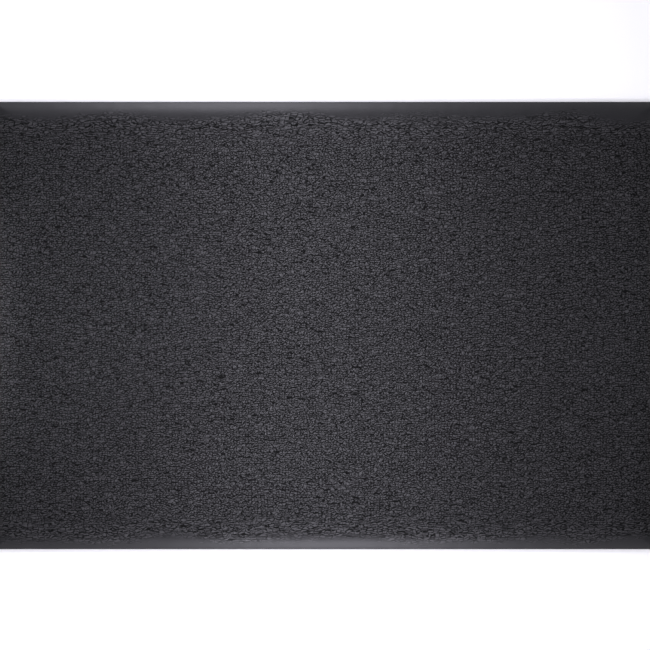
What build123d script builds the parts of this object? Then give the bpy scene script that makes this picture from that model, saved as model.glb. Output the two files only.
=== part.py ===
"""Anti-fatigue standing mat, 2 ft by 3 ft.

A pebbled vinyl wear sheet, a closed-cell foam core and a non-slip base sheet are bonded into one flat
laminate. A heated press squeezes the rim down on all four sides, and a die then cuts the outline, so the
standing surface curves over to a thin cut edge that shows every ply. The wear sheet, its bond film and the
top of the core follow that curve, while the base sheet and its bond film stay flat. The curves of two sides
meet in a hip.

Frame: +X along the mat's length, +Y along its width, +Z up. The origin is on the floor under the centre.
"""

from build123d import *

import os
from math import atan, cos, radians, sin, sqrt

# Driving dimensions, in millimetres
LENGTH = 914.0
WIDTH = 610.0
THICKNESS = 9.5
CORNER_RADIUS = 5.0

SIDE_RIM_WIDTH = 27.0
END_RIM_WIDTH = 40.0
RIM_START_SLOPE = radians(2)
CUT_EDGE_HEIGHT = 3.0
TRIM = 1.0

WEAR_SHEET = 0.8
BOND_FILM = 0.15
BASE_SHEET = 0.5

# Where the plies meet: depths below the standing surface, and the core's underside above the floor
WEAR_BACK_DEPTH = WEAR_SHEET
CORE_TOP_DEPTH = WEAR_SHEET + BOND_FILM
CORE_BOTTOM = BASE_SHEET + BOND_FILM


def rim_arc(rim_width):
    """A rim's arc at the standing surface: its radius, and its centre's height and inset from the cut edge."""
    drop = THICKNESS - CUT_EDGE_HEIGHT
    edge_slope = 2 * atan(drop / rim_width) - RIM_START_SLOPE
    radius = rim_width / (sin(edge_slope) - sin(RIM_START_SLOPE))
    centre_height = THICKNESS - radius * cos(RIM_START_SLOPE)
    centre_inset = rim_width + radius * sin(RIM_START_SLOPE)
    return radius, centre_height, centre_inset


def cross_section(plane, span, rim_width, depth):
    """The blank's outline on an upright plane, from the floor up to depth below the standing surface.

    Surfaces at different depths share each rim arc's centre, so a ply between two of them has the same
    thickness all the way round the rim.
    """
    outer_radius, centre_height, centre_inset = rim_arc(rim_width)
    radius = outer_radius - depth
    top = THICKNESS - depth
    half = span / 2 + TRIM
    edge_top = centre_height + sqrt(radius**2 - (centre_inset + TRIM) ** 2)
    level_half = span / 2 - centre_inset + sqrt(radius**2 - (top - centre_height) ** 2)
    with BuildSketch(plane) as section:
        with BuildLine():
            Polyline((-half, edge_top), (-half, 0), (half, 0), (half, edge_top))
            RadiusArc((half, edge_top), (level_half, top), -radius)
            Line((level_half, top), (-level_half, top))
            RadiusArc((-level_half, top), (-half, edge_top), -radius)
        make_face()
    return section.sketch


def pressed_blank(depth):
    """The laminate as it leaves the press, TRIM larger all round, up to depth below the standing surface."""
    blank_length = LENGTH + 2 * TRIM
    blank_width = WIDTH + 2 * TRIM
    far_side = Plane.XZ.offset(-blank_width / 2)
    left_end = Plane.YZ.offset(-blank_length / 2)
    with BuildPart() as blank:
        extrude(cross_section(far_side, LENGTH, END_RIM_WIDTH, depth), amount=blank_width)
        across = cross_section(left_end, WIDTH, SIDE_RIM_WIDTH, depth)
        extrude(across, amount=blank_length, mode=Mode.INTERSECT)
    return blank.part


def mat_outline(height=0):
    """The die's outline, which every ply is cut to."""
    with BuildSketch(Plane.XY.offset(height)) as outline:
        RectangleRounded(LENGTH, WIDTH, CORNER_RADIUS)
    return outline.sketch


# Embossed vinyl sheet: the standing surface and the curved rim
with BuildPart() as wear_layer:
    add(pressed_blank(0))
    add(pressed_blank(WEAR_BACK_DEPTH), mode=Mode.SUBTRACT)
    extrude(mat_outline(), amount=THICKNESS, mode=Mode.INTERSECT)
wear_layer.part.label = "wear_layer"

# Hot-melt film that holds the wear sheet to the core
with BuildPart() as upper_bond_film:
    add(pressed_blank(WEAR_BACK_DEPTH))
    add(pressed_blank(CORE_TOP_DEPTH), mode=Mode.SUBTRACT)
    extrude(mat_outline(), amount=THICKNESS, mode=Mode.INTERSECT)
upper_bond_film.part.label = "upper_bond_film"

# Closed-cell foam, squeezed thin at the rim
with BuildPart() as foam_core:
    add(pressed_blank(CORE_TOP_DEPTH))
    extrude(mat_outline(CORE_BOTTOM), amount=THICKNESS, mode=Mode.INTERSECT)
foam_core.part.label = "foam_core"

# Hot-melt film that holds the base sheet to the core
with BuildPart() as lower_bond_film:
    extrude(mat_outline(BASE_SHEET), amount=BOND_FILM)
lower_bond_film.part.label = "lower_bond_film"

# Non-slip vinyl sheet that lies on the floor
with BuildPart() as grip_base:
    extrude(mat_outline(), amount=BASE_SHEET)
grip_base.part.label = "grip_base"

os.makedirs("parts", exist_ok=True)
for ply in (wear_layer, upper_bond_film, foam_core, lower_bond_film, grip_base):
    export_step(ply.part, f"parts/{ply.part.label}.step")
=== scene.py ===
from math import atan, cos, radians, sin

import bpy
import numpy as np
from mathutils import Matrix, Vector


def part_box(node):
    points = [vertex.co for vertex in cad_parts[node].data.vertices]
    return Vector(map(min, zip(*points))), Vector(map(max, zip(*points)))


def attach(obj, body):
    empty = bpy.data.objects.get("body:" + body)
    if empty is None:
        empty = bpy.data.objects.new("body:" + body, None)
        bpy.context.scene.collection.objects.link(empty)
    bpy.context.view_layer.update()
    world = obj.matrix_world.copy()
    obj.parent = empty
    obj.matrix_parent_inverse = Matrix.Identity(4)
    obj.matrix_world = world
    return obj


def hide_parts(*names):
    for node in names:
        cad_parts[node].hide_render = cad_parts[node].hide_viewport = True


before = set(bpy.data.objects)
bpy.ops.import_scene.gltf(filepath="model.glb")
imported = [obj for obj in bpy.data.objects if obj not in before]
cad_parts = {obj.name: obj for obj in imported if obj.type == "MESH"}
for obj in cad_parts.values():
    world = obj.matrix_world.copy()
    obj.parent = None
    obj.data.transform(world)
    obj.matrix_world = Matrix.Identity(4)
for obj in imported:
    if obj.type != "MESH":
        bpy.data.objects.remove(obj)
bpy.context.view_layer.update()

# ---------------------------------------------------------------- the mat's sizes, in metres

HALF_LENGTH, HALF_WIDTH, THICKNESS = Vector(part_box("wear_layer")[1])
CORE_BOTTOM, CORE_TOP = (Vector(corner).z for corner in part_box("foam_core"))
BASE_TOP = Vector(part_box("grip_base")[1]).z

CORNER_RADIUS = 0.005
END_RIM_WIDTH = 0.040
SIDE_RIM_WIDTH = 0.027
RIM_START_SLOPE = radians(2)
CUT_EDGE_HEIGHT = 0.003
WEAR_SHEET = 0.0008
HIP_WIDTH = 0.001

# Vertex spacings: the embossed top along X and along Y, the dimpled underside, and the foam's cut edge
GRAIN_STEPS = 0.0009, 0.0007
DIMPLE_STEP = 0.002
FOAM_STEP = 0.001

# The embossing, and the faint ripple of the sheet that carries it
GRAIN_DEPTH = 0.00025
SMOOTH_LEVEL = -0.3  # of the smooth bands above the pebbles' tops, as a share of the depth
END_RIM_DEPTH = 0.25  # on the end rims, as a share of the depth
END_RIM_FADE = 0.014
RIPPLE = 0.00003

# The pebbles
PEBBLE_PITCH = 0.0026  # across the mat
PEBBLE_STRETCH = 1.6  # how much longer they are along it
STREAK_STRETCH = 3.0  # the same where they are drawn out, beside the smooth bands
GROOVE_SHARE = 0.53  # how far from a wall a pebble is at its full height, as a share of the pitch
CROSS_GROOVE_SHARE = 0.6  # how wide a groove across X is, as a share of one along it
WARP = 0.0006

# The smooth band along each side, and how far its edge strays over long and short stretches
FAR_SMOOTH, NEAR_SMOOTH = 0.024, 0.016
SMOOTH_WANDER, SMOOTH_FLUTTER = 0.0035, 0.0015

# How far in from the cut edge the loops of points under the rims lie
RIM_LOOPS = 0.007, 0.014, 0.021, 0.028, 0.034, 0.041

# The suction dimples
DIMPLE_PITCH = 0.014
DIMPLE_DEPTH = 0.00025

# The camera: how much of the mat's length it sees, and how far it is off the middle
VIEW_WIDTH = 0.8863
VIEW_SHIFT = 0.0007

LIGHT_COLOUR = 0.97, 0.95, 1.07

rng = np.random.default_rng(24)


# ---------------------------------------------------------------- numbers

def smoothstep(low, high, x):
    t = np.clip((x - low) / (high - low), 0, 1)
    return t * t * (3 - 2 * t)


def smooth_max(a, b, width):
    """The larger of a and b, with the crease between them rounded where they differ by less than width."""
    closeness = np.maximum(width - np.abs(a - b), 0)
    return np.maximum(a, b) + closeness**2 / np.maximum(4 * width, 1e-12)


def band_noise(shape, pitch, stretch=1.0):
    """Noise on the embossed top's grid, with bumps about pitch apart along Y and stretch times that along X.

    Its deviation is 1.
    """
    across = np.fft.fftfreq(shape[0], GRAIN_STEPS[1])[:, None] * pitch
    along = np.fft.rfftfreq(shape[1], GRAIN_STEPS[0])[None, :] * pitch * stretch
    ring = np.exp(-(((np.hypot(along, across) - 1) / 0.6) ** 2))
    noise = np.fft.irfft2(np.fft.rfft2(rng.standard_normal(shape)) * ring, s=shape)
    return noise / noise.std()


def cells(x, y, pitch, stretch):
    """Divides the plane into irregular cells about pitch across, and stretch times that along X.

    Gives each point's distance to the nearest wall between two cells, a number that is the same all over a
    cell and has a deviation of 1, and the height of a random tilt across the cell. A wall that runs across X
    counts as further away than it is, so that the groove made along it is narrower.
    """
    u, v = x / (pitch * stretch), y / pitch
    column, row = np.floor(u).astype(int), np.floor(v).astype(int)
    first_column, first_row = column.min() - 1, row.min() - 1
    count = (row.max() - first_row + 2, column.max() - first_column + 2)
    seed_u, seed_v = (0.1 + 0.8 * rng.random(count) for _ in range(2))
    height, tilt_u, tilt_v = (rng.standard_normal(count) for _ in range(3))
    nearest, second = (np.full((3, *x.shape), np.inf) for _ in range(2))
    chosen = np.zeros((2, *x.shape))
    for step_row in (-1, 0, 1):
        for step_column in (-1, 0, 1):
            seed = row + step_row - first_row, column + step_column - first_column
            from_u = u - column - step_column - seed_u[seed]
            from_v = v - row - step_row - seed_v[seed]
            this = np.stack([np.hypot(from_u, from_v), from_u, from_v])
            closer = this[0] < nearest[0]
            second = np.where(closer, nearest, np.where(this[0] < second[0], this, second))
            nearest = np.where(closer, this, nearest)
            found = np.stack([height[seed], tilt_u[seed] * from_u + tilt_v[seed] * from_v])
            chosen = np.where(closer, found, chosen)
    apart_u, apart_v = nearest[1] - second[1], nearest[2] - second[2]
    wall = (second[0] ** 2 - nearest[0] ** 2) / 2 / np.hypot(CROSS_GROOVE_SHARE * apart_u / stretch, apart_v)
    return wall * pitch, chosen[0], chosen[1]


# ---------------------------------------------------------------- the mat's form

def rim_drop(beyond, rim_width):
    """How far a rim has curved down at a distance beyond its start. It is one arc."""
    drop = THICKNESS - CUT_EDGE_HEIGHT
    edge_slope = 2 * atan(drop / rim_width) - RIM_START_SLOPE
    radius = rim_width / (sin(edge_slope) - sin(RIM_START_SLOPE))
    from_crown = beyond + radius * sin(RIM_START_SLOPE)
    crown = radius * (1 - cos(RIM_START_SLOPE))
    arc = radius - np.sqrt(radius**2 - np.clip(from_crown, 0, rim_width * 1.2) ** 2) - crown
    return np.maximum(arc, 0)


def standing_height(x, y, hip=0.0):
    """Height of the standing surface, without its embossing. hip is how wide each corner's hip is rounded."""
    end = rim_drop(np.abs(x) - (HALF_LENGTH - END_RIM_WIDTH), END_RIM_WIDTH)
    side = rim_drop(np.abs(y) - (HALF_WIDTH - SIDE_RIM_WIDTH), SIDE_RIM_WIDTH)
    return THICKNESS - smooth_max(end, side, np.minimum(hip, np.minimum(end, side)))


def rounded(x, y):
    """Moves points of the full rectangle in at its corners, so that its outline turns each one on an arc."""
    a = np.maximum(np.abs(x) - (HALF_LENGTH - CORNER_RADIUS), 0)
    b = np.maximum(np.abs(y) - (HALF_WIDTH - CORNER_RADIUS), 0)
    distance = np.hypot(a, b)
    pull = np.where(distance > 0, np.maximum(a, b) / np.where(distance > 0, distance, 1), 1)
    return x - np.sign(x) * a * (1 - pull), y - np.sign(y) * b * (1 - pull)


def mat_grid(step_x, step_y):
    """x and y of a grid over the mat, with rows along X. The outermost points lie on the cut edge."""
    columns = round(2 * HALF_LENGTH / step_x) + 1
    rows = round(2 * HALF_WIDTH / step_y) + 1
    x, y = np.meshgrid(
        np.linspace(-HALF_LENGTH, HALF_LENGTH, columns),
        np.linspace(-HALF_WIDTH, HALF_WIDTH, rows),
    )
    return rounded(x, y)


def border(grid):
    """The border of a grid of values, once round, anticlockwise from above."""
    return np.concatenate([grid[0, :-1], grid[:-1, -1], grid[-1, :0:-1], grid[:0:-1, 0]])


def inset(x, y, distance):
    """A loop of points moved in from the cut edge."""
    return x * (1 - distance / HALF_LENGTH), y * (1 - distance / HALF_WIDTH)


# ---------------------------------------------------------------- meshes

def closed_mesh(name, rings, top=None, bottom=None):
    """A closed mesh through rings of points, from the highest to the lowest, all with as many points.

    top and bottom are grids of points that close it. Where one is missing, a flat face does.
    """
    points, faces, loops = [], [], []

    def take(new):
        start = sum(len(p) for p in points)
        points.append(new.reshape(-1, 3))
        return np.arange(start, start + new.size // 3).reshape(new.shape[:-1])

    def grid_faces(index):
        corners = index[:-1, :-1], index[:-1, 1:], index[1:, 1:], index[1:, :-1]
        return np.stack(corners, axis=-1).reshape(-1, 4)

    if top is not None:
        index = take(top)
        faces += grid_faces(index).tolist()
        loops.append(border(index))
    loops += [take(ring) for ring in rings]
    if bottom is not None:
        index = take(bottom)
        faces += grid_faces(index)[:, ::-1].tolist()
        loops.append(border(index))
    if top is None:
        faces.append(loops[0].tolist())
    if bottom is None:
        faces.append(loops[-1][::-1].tolist())
    for upper, lower in zip(loops, loops[1:]):
        wall = upper, lower, np.roll(lower, -1), np.roll(upper, -1)
        faces += np.stack(wall, axis=-1).tolist()

    mesh = bpy.data.meshes.new(name)
    mesh.from_pydata(np.concatenate(points).tolist(), [], faces)
    mesh.shade_smooth()
    piece = bpy.data.objects.new(name, mesh)
    bpy.context.scene.collection.objects.link(piece)
    return piece


def mark(piece, name, values):
    """Stores a number from 0 to 1 at each of a piece's first points, for its material, and 0 at the rest."""
    layer = piece.data.attributes.new(name, "FLOAT", "POINT")
    filled = np.zeros(len(piece.data.vertices), dtype=np.float32)
    filled[: values.size] = values.ravel()
    layer.data.foreach_set("value", filled)


# ---------------------------------------------------------------- the wear sheet

def embossing(x, y):
    """The wear sheet's embossing: pebble height, share of the full depth, and how smooth, each from 0 to 1.

    The press that formed the rims smoothed it away along the sides, and made it shallow at the ends.
    """
    shape = x.shape
    warp_x = WARP * band_noise(shape, 0.008)
    warp_y = WARP * band_noise(shape, 0.008, 2.0)
    wander = band_noise(shape, 0.09, 2.0)
    flutter = band_noise(shape, 0.007, 3.0)

    def pebbled(stretch):
        wall, height, tilt = cells(x + warp_x, y + warp_y, PEBBLE_PITCH, stretch)
        return smoothstep(0, GROOVE_SHARE * PEBBLE_PITCH, wall) * (0.93 + 0.07 * height + 0.3 * tilt)

    pebbles = pebbled(PEBBLE_STRETCH)
    streaks = pebbled(STREAK_STRETCH)
    from_side = HALF_WIDTH - np.abs(y)
    smooth_width = np.where(y > 0, FAR_SMOOTH, NEAR_SMOOTH)
    smooth_width = smooth_width + SMOOTH_WANDER * wander + SMOOTH_FLUTTER * flutter
    pressed = 1 - smoothstep(smooth_width - 0.009, smooth_width + 0.008, from_side)
    drawn = 1 - smoothstep(smooth_width + 0.010, smooth_width + 0.034, from_side + 0.006 * flutter)
    grain = drawn * streaks + (1 - drawn) * pebbles
    at_end = 1 - smoothstep(END_RIM_WIDTH - END_RIM_FADE, END_RIM_WIDTH, HALF_LENGTH - np.abs(x))
    return np.clip(grain, 0, 1), 1 - (1 - END_RIM_DEPTH) * at_end, pressed


def make_wear_layer():
    x, y = mat_grid(*GRAIN_STEPS)
    pebbles, depth, pressed = embossing(x, y)
    relief = (pebbles - 1) * depth * (1 - pressed) + SMOOTH_LEVEL * pressed
    ripple = RIPPLE * band_noise(x.shape, 0.03)
    z = standing_height(x, y, HIP_WIDTH) + GRAIN_DEPTH * relief + ripple
    top = np.stack([x, y, z], axis=-1)

    edge_x, edge_y = border(x), border(y)
    rings = []
    for distance in (0.0, *RIM_LOOPS):
        ring_x, ring_y = inset(edge_x, edge_y, distance)
        ring_z = standing_height(ring_x, ring_y) - WEAR_SHEET
        rings.append(np.stack([ring_x, ring_y, ring_z], axis=-1))
    piece = closed_mesh("wear_sheet", rings, top=top)
    mark(piece, "pebble", pebbles)
    mark(piece, "pressed", pressed)
    return piece


# ---------------------------------------------------------------- the foam core

def make_foam_core():
    edge_x, edge_y = (border(v) for v in mat_grid(FOAM_STEP, FOAM_STEP))
    depth = THICKNESS - CORE_TOP
    rings = []
    for distance in reversed(RIM_LOOPS):
        ring_x, ring_y = inset(edge_x, edge_y, distance)
        rings.append(np.stack([ring_x, ring_y, standing_height(ring_x, ring_y) - depth], axis=-1))
    edge_top = standing_height(edge_x, edge_y) - depth
    rows = 7
    for row in range(rows):
        share = row / (rows - 1)
        torn = 0.00012 * rng.random(edge_x.size) * (0 < row < rows - 1)
        ring_x, ring_y = inset(edge_x, edge_y, torn)
        ring_z = edge_top * (1 - share) + CORE_BOTTOM * share
        rings.append(np.stack([ring_x, ring_y, ring_z], axis=-1))
    return closed_mesh("foam", rings)


# ---------------------------------------------------------------- the grip base

def make_grip_base():
    """A thin sheet with shallow dimples pressed into its underside, which hold the floor by suction."""
    x, y = mat_grid(DIMPLE_STEP, DIMPLE_STEP)
    row_pitch = DIMPLE_PITCH * 0.866
    row = np.round(y / row_pitch)
    shifted = x - np.where(row % 2 == 0, 0, DIMPLE_PITCH / 2)
    column = np.round(shifted / DIMPLE_PITCH)
    from_centre = np.hypot(shifted - column * DIMPLE_PITCH, y - row * row_pitch)
    margin = np.minimum(HALF_LENGTH - np.abs(x), HALF_WIDTH - np.abs(y))
    dimple = (1 - smoothstep(0.0015, 0.005, from_centre)) * smoothstep(0.006, 0.012, margin)
    bottom = np.stack([x, y, DIMPLE_DEPTH * dimple], axis=-1)
    upper = np.stack([border(x), border(y), np.full(border(x).shape, BASE_TOP)], axis=-1)
    piece = closed_mesh("base_sheet", [upper], bottom=bottom)
    mark(piece, "dimple", np.concatenate([np.zeros(len(upper)), dimple.ravel()]))
    return piece


# ---------------------------------------------------------------- materials

def new_material(name):
    material = bpy.data.materials.new(name)
    material.use_nodes = True
    nodes, links = material.node_tree.nodes, material.node_tree.links
    shader = nodes["Principled BSDF"]
    place = nodes.new("ShaderNodeTexCoord").outputs["Object"]
    return material, nodes, links, shader, place


def noise_node(nodes, links, place, scale, detail=2.0, roughness=0.5):
    node = nodes.new("ShaderNodeTexNoise")
    node.inputs["Scale"].default_value = scale
    node.inputs["Detail"].default_value = detail
    node.inputs["Roughness"].default_value = roughness
    links.new(place, node.inputs["Vector"])
    return node.outputs["Fac"]


def ramp(nodes, links, value, low, high):
    """A value from 0 to 1 made into a colour between two."""
    node = nodes.new("ShaderNodeValToRGB")
    node.color_ramp.elements[0].color = (*low, 1)
    node.color_ramp.elements[1].color = (*high, 1)
    links.new(value, node.inputs["Fac"])
    return node.outputs["Color"]


def mapped(nodes, links, value, low, high, to_low, to_high):
    node = nodes.new("ShaderNodeMapRange")
    for socket, number in zip(("From Min", "From Max", "To Min", "To Max"), (low, high, to_low, to_high)):
        node.inputs[socket].default_value = number
    links.new(value, node.inputs["Value"])
    return node.outputs["Result"]


def mixed(nodes, links, share, a, b):
    node = nodes.new("ShaderNodeMix")
    node.data_type = "RGBA"
    links.new(share, node.inputs["Factor"])
    links.new(a, node.inputs["A"])
    links.new(b, node.inputs["B"])
    return node.outputs["Result"]


def bump(nodes, links, shader, height, distance):
    node = nodes.new("ShaderNodeBump")
    node.inputs["Distance"].default_value = distance
    node.inputs["Strength"].default_value = 1.0
    links.new(height, node.inputs["Height"])
    links.new(node.outputs["Normal"], shader.inputs["Normal"])


def vinyl():
    material, nodes, links, shader, place = new_material("pebbled_vinyl")
    pebble = nodes.new("ShaderNodeAttribute")
    pebble.attribute_name = "pebble"
    pressed = nodes.new("ShaderNodeAttribute")
    pressed.attribute_name = "pressed"
    tops = mapped(nodes, links, pebble.outputs["Fac"], 0.2, 0.84, 0.0, 1.0)
    # The embossed top's base colour runs from near black in the grooves to lighter on the pebble tops:
    # painted shade in the grooves and a painted highlight on the tops.
    embossed_with_painted_shading = ramp(nodes, links, tops, (0.001, 0.001, 0.0011), (0.025, 0.0243, 0.027))
    mottle = noise_node(nodes, links, place, 60)
    smooth = ramp(nodes, links, mottle, (0.01, 0.01, 0.0115), (0.014, 0.014, 0.0155))
    colour = mixed(nodes, links, pressed.outputs["Fac"], embossed_with_painted_shading, smooth)
    links.new(colour, shader.inputs["Base Color"])
    shine = nodes.new("ShaderNodeMix")
    shine.inputs["B"].default_value = 0.38
    links.new(pressed.outputs["Fac"], shine.inputs["Factor"])
    links.new(tops, shine.inputs["A"])
    links.new(shine.outputs["Result"], shader.inputs["Coat Weight"])
    shader.inputs["Coat Roughness"].default_value = 0.36
    shader.inputs["Specular IOR Level"].default_value = 0.1
    rough = mapped(nodes, links, noise_node(nodes, links, place, 220, 3), 0.3, 0.7, 0.5, 0.6)
    links.new(rough, shader.inputs["Roughness"])
    bump(nodes, links, shader, noise_node(nodes, links, place, 1500, 3, 0.6), 0.00006)
    return material


def foam():
    material, nodes, links, shader, place = new_material("closed_cell_foam")
    pores = nodes.new("ShaderNodeTexVoronoi")
    pores.inputs["Scale"].default_value = 3200
    links.new(place, pores.inputs["Vector"])
    colour = ramp(nodes, links, pores.outputs["Distance"], (0.045, 0.045, 0.048), (0.012, 0.012, 0.013))
    links.new(colour, shader.inputs["Base Color"])
    shader.inputs["Roughness"].default_value = 0.9
    bump(nodes, links, shader, pores.outputs["Distance"], -0.00015)
    return material


def film():
    material, nodes, links, shader, place = new_material("hot_melt_film")
    streak = noise_node(nodes, links, place, 400, 2)
    colour = ramp(nodes, links, streak, (0.08, 0.076, 0.065), (0.15, 0.14, 0.12))
    links.new(colour, shader.inputs["Base Color"])
    shader.inputs["Roughness"].default_value = 0.4
    return material


def base_vinyl():
    material, nodes, links, shader, place = new_material("grip_vinyl")
    mottle = noise_node(nodes, links, place, 90, 3)
    flat = ramp(nodes, links, mottle, (0.018, 0.018, 0.019), (0.030, 0.030, 0.031))
    # The dimples' hollows are coloured darker than the flat underside: painted shade in the dimples.
    painted_dimple_shade = ramp(nodes, links, mottle, (0.006, 0.006, 0.007), (0.010, 0.010, 0.011))
    dimple = nodes.new("ShaderNodeAttribute")
    dimple.attribute_name = "dimple"
    links.new(mixed(nodes, links, dimple.outputs["Fac"], flat, painted_dimple_shade), shader.inputs["Base Color"])
    shader.inputs["Roughness"].default_value = 0.7
    bump(nodes, links, shader, noise_node(nodes, links, place, 1800, 2), 0.00005)
    return material


# ---------------------------------------------------------------- the pieces

wear = make_wear_layer()
wear.data.materials.append(vinyl())
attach(wear, "root")
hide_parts("wear_layer")

core = make_foam_core()
core.data.materials.append(foam())
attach(core, "root")
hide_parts("foam_core")

base = make_grip_base()
base.data.materials.append(base_vinyl())
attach(base, "root")
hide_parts("grip_base")

film_material = film()
for node in ("upper_bond_film", "lower_bond_film"):
    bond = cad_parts[node]
    bond.data.materials.clear()
    bond.data.materials.append(film_material)

# ---------------------------------------------------------------- floor, lights, camera

def make_floor():
    mesh = bpy.data.meshes.new("floor")
    reach = 12.0
    corners = [(-reach, -reach, 0), (reach, -reach, 0), (reach, reach, 0), (-reach, reach, 0)]
    mesh.from_pydata(corners, [], [(0, 1, 2, 3)])
    floor = bpy.data.objects.new("floor", mesh)
    bpy.context.scene.collection.objects.link(floor)
    material, _, _, shader, _ = new_material("studio_white")
    shader.inputs["Base Color"].default_value = (0.9, 0.9, 0.9, 1)
    shader.inputs["Roughness"].default_value = 0.9
    mesh.materials.append(material)


def softbox(name, place, aim, width, height, power, spread):
    """An area light at place, turned to aim, whose beam is spread degrees wide."""
    light = bpy.data.lights.new(name, "AREA")
    light.shape = "RECTANGLE"
    light.size = width
    light.size_y = height
    light.energy = power
    light.color = LIGHT_COLOUR
    light.spread = radians(spread)
    lamp = bpy.data.objects.new(name, light)
    lamp.location = place
    lamp.rotation_euler = (Vector(aim) - Vector(place)).to_track_quat("-Z", "Y").to_euler()
    lamp.visible_camera = False
    bpy.context.scene.collection.objects.link(lamp)


def make_world():
    """A pale room with a dark ceiling: bright at the horizon, dim straight up."""
    world = bpy.data.worlds.new("studio")
    world.use_nodes = True
    nodes, links = world.node_tree.nodes, world.node_tree.links
    nodes["Background"].inputs["Color"].default_value = (1, 1, 1, 1)
    direction = nodes.new("ShaderNodeTexCoord").outputs["Generated"]
    split = nodes.new("ShaderNodeSeparateXYZ")
    links.new(direction, split.inputs["Vector"])
    fade = nodes.new("ShaderNodeMapRange")
    fade.interpolation_type = "SMOOTHSTEP"
    fade.inputs["From Min"].default_value = 0.3
    fade.inputs["From Max"].default_value = 0.8
    fade.inputs["To Min"].default_value = 1.6
    fade.inputs["To Max"].default_value = 0.0
    links.new(split.outputs["Z"], fade.inputs["Value"])
    links.new(fade.outputs["Result"], nodes["Background"].inputs["Strength"])
    bpy.context.scene.world = world


make_floor()
softbox("overhead_strip", (-0.02, 0, 1.2), (-0.02, 0, 0), 0.36, 1.5, 4.4, 150)
softbox("far_softbox", (-0.19, 1.3, 0.93), (-0.13, 0.2, 0), 0.44, 0.5, 3.1, 90)
softbox("near_softbox", (-0.01, -1.3, 1.05), (0.0, -0.2, 0), 0.3, 0.5, 3.3, 90)
softbox("left_softbox", (-1.05, 0, 1.3), (-0.43, 0, 0), 0.06, 1.0, 0.27, 40)
softbox("right_softbox", (0.9, 0, 1.3), (0.43, 0, 0), 0.06, 1.0, 0.06, 40)
make_world()
bpy.context.scene.view_settings.view_transform = "Standard"

# Straight down over the middle. The view takes in all of the width and cuts off the outermost of both ends.
camera_data = bpy.data.cameras.new("camera")
camera_data.sensor_width = 36
camera_data.lens = 100
camera = bpy.data.objects.new("camera", camera_data)
distance = VIEW_WIDTH * camera_data.lens / camera_data.sensor_width
camera.location = (0, VIEW_SHIFT, CUT_EDGE_HEIGHT + distance)
bpy.context.scene.collection.objects.link(camera)
bpy.context.scene.camera = camera
